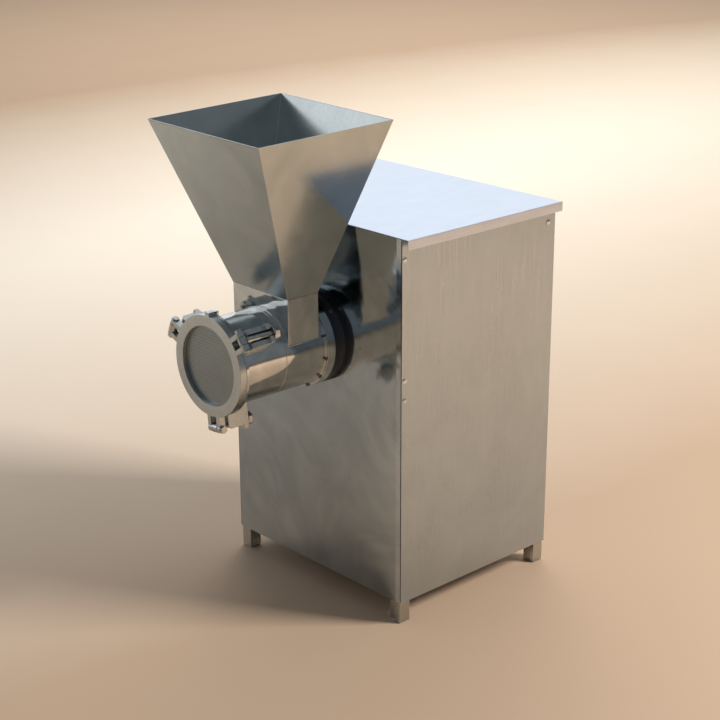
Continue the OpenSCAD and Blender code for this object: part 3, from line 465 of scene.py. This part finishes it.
# Cross-head screws, one on each of the frame's own
source = bmesh.new()
source.from_mesh(frame["nodes"]["panel_screws"].data)
bmesh.ops.remove_doubles(source, verts=source.verts[:], dist=2e-6)
spots, seen = [], set()
for vert in source.verts:
    if vert in seen:
        continue
    island, queue = [], [vert]
    seen.add(vert)
    while queue:
        here = queue.pop()
        island.append(here.co)
        for edge in here.link_edges:
            other = edge.other_vert(here)
            if other not in seen:
                seen.add(other)
                queue.append(other)
    spots.append(([min(c[k] for c in island) for k in range(3)],
                  [max(c[k] for c in island) for k in range(3)]))
source.free()
sideX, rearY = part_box("right_side_panel")[1][0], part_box("rear_panel")[1][1]
head = dict(radius=0.0055, high=0.0024, slot=0.0009, reach=0.0028)
bm = bmesh.new()
for low, high in spots:
    middle = [(a + b) / 2 for a, b in zip(low, high)]
    sideways = abs(middle[0]) > sideX - 0.01
    if sideways:
        out = 1 if middle[0] > 0 else -1
        turn = (Matrix.Translation((out * sideX, middle[1], middle[2]))
                @ Matrix.Rotation(math.radians(-90 * out), 4, "Z"))
    else:
        turn = Matrix.Translation((middle[0], rearY, middle[2]))
    part = bmesh.new()
    top = head["high"] * 0.92
    rise = [(top * math.sin(math.radians(a)), head["radius"] * math.cos(math.radians(a)))
            for a in range(20, 90, 14)]
    rise = [(0.0, head["radius"])] + rise + [(top, 0.0)]
    lathe(part, rise + [(0.0, 0.0)], 40, (0, 0))
    for x, z in ((head["reach"], head["slot"] / 2), (head["slot"] / 2, head["reach"])):
        slab(part, (-x, head["high"] * 0.9, -z), (x, head["high"] * 0.97, z), None, 0.0001)
    join(bm, part, turn)
keepPiece(bm, "panelScrews", "root", "screw_steel", "panel_screws")


# Weld beads and rims are round wires laid along a path
def bead(name, points, radius, slot, body="root", closed=True):
    path = bpy.data.curves.new(name, "CURVE")
    path.dimensions, path.bevel_depth, path.bevel_resolution = "3D", radius, 3
    line = path.splines.new("POLY")
    line.points.add(len(points) - 1)
    for point, place in zip(line.points, points):
        point.co = (*place, 1)
    line.use_cyclic_u = closed
    path.materials.append(finishes[slot])
    wire = bpy.data.objects.new(name, path)
    bpy.context.scene.collection.objects.link(wire)
    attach(wire, body)


def circle(y, radius, count=160):
    return [(radius * math.cos(math.tau * k / count), y, axisZ + radius * math.sin(math.tau * k / count))
            for k in range(count)]


def saddle(count=40):  # where the neck's four walls meet the barrel
    path = []
    for k in range(count + 1):
        x = neckHigh[0] * (1 - 2 * k / count)
        path.append((x, neckLow[1], axisZ + math.sqrt(barrel["radius"] ** 2 - x * x)))
    return path + [(x, neckHigh[1], z) for x, _, z in reversed(path)]


bead("neckWeld", saddle(), barrel["bead"], "polished_steel")
bead("flangeWeld", circle(flangeBack + 0.0004, barrel["radius"] + 0.0004), barrel["bead"], "polished_steel")
bead("rearWeld", circle(span("barrel_tube")[1] - 0.0004, barrel["radius"] + 0.0004),
     barrel["bead"], "polished_steel")
bead("barrelSeam", circle(neckLow[1] - 0.008, barrel["radius"] + 0.0001), 0.0005, "polished_steel")
corners = []
for sx, sy in ((-1, -1), (1, -1), (1, 1), (-1, 1)):
    top = max((v.co for v in frame["nodes"]["hopper"].data.vertices), key=lambda c: sx * c.x + sy * c.y + c.z)
    corners.append((top.x - sx * 0.0013, top.y - sy * 0.0013, top.z - 0.0014))
bead("hopperRim", corners, 0.0012, "hopper_sheet", "hopper")
print("turned pieces made")

# floor with a painted pool of light on it, and the lamps
# the floor's two colours are a painted pool of light: pale at the middle, painted falloff shade in brown further
# off
stage = dict(size=40, near=(0.97, 0.88, 0.76), far=(0.46, 0.33, 0.23),
             middle=(-2.3, 2.0), key=275, fill=14, rear=270)
bm = bmesh.new()
bmesh.ops.create_grid(bm, x_segments=8, y_segments=8, size=stage["size"] / 2)
floorMesh = bpy.data.meshes.new("floor")
bm.to_mesh(floorMesh)
bm.free()
floor = bpy.data.objects.new("floor", floorMesh)
bpy.context.scene.collection.objects.link(floor)
floorFinish = Finish("floor")
spot = floorFinish.node("TexCoord", output="Object")
shifted = floorFinish.node("VectorMath", {"operation": "SUBTRACT"}, {0: spot, 1: (*stage["middle"], 0)})
squeezed = floorFinish.node("Mapping", {}, {"Vector": shifted, "Rotation": (0, 0, math.radians(-47.5)),
                                            "Scale": (0.40, 0.135, 1)})
away = floorFinish.node("VectorMath", {"operation": "LENGTH"}, {0: squeezed}, output="Value")
speckle = floorFinish.grain(3, 3)
# painted pool of light: the floor's colour goes from pale in the middle to brown far off
paintedLightPool = floorFinish.blend(floorFinish.range(away + speckle * 0.04, 0.05, 1.0, 0, 1),
                         rgb(*stage["near"]), rgb(*stage["far"]))
floorMesh.materials.append(floorFinish.set(paintedLightPool, 0.0, floorFinish.range(speckle, 0.3, 0.7, 0.85, 0.95),
                                           floorFinish.ridges(speckle, 0.02, 0.001)))


def softLight(name, place, target, size, power, colour=(1, 1, 1)):
    light = bpy.data.lights.new(name, "AREA")
    light.shape, light.size, light.size_y = "RECTANGLE", size[0], size[1]
    light.energy, light.color = power, colour
    lamp = bpy.data.objects.new(name, light)
    bpy.context.scene.collection.objects.link(lamp)
    aim = (Vector(target) - Vector(place)).to_track_quat("-Z", "Y").to_matrix().to_4x4()
    lamp.matrix_world = Matrix.Translation(place) @ aim
    return lamp


key = softLight("keyLight", (3.0, 2.3, 3.0), (0, 0.1, 0.3), (1.3, 1.3), stage["key"], (1.0, 0.97, 0.93))
key.visible_glossy = False
softLight("fillLight", (-2.4, -2.6, 1.6), (0, -0.2, 0.5), (2.2, 2.0), stage["fill"])
rearLamp = softLight("rearLight", (-4.5, 4.7, 4.5), (-4.5, 4.7, 0), (5, 5), stage["rear"], (1.0, 0.95, 0.87))
rearLamp.visible_glossy = False
world = bpy.data.worlds.new("studio")
bpy.context.scene.world = world
world.use_nodes = True
sky = world.node_tree
backdrop = sky.nodes["Background"]
backdrop.inputs[1].default_value = 1.4
facing = sky.nodes.new("ShaderNodeTexCoord")
rise = sky.nodes.new("ShaderNodeVectorMath")
rise.operation = "DOT_PRODUCT"
rise.inputs[1].default_value = (-0.70, 0.64, 0.31)
ramp = sky.nodes.new("ShaderNodeValToRGB")
ramp.color_ramp.elements[0].position, ramp.color_ramp.elements[0].color = 0.42, (0.13, 0.14, 0.15, 1)
ramp.color_ramp.elements[1].position, ramp.color_ramp.elements[1].color = 0.95, (0.78, 0.80, 0.82, 1)
sky.links.new(facing.outputs["Generated"], rise.inputs[0])
sky.links.new(rise.outputs["Value"], ramp.inputs[0])
sky.links.new(ramp.outputs[0], backdrop.inputs[0])
bpy.context.scene.view_settings.view_transform = "Standard"
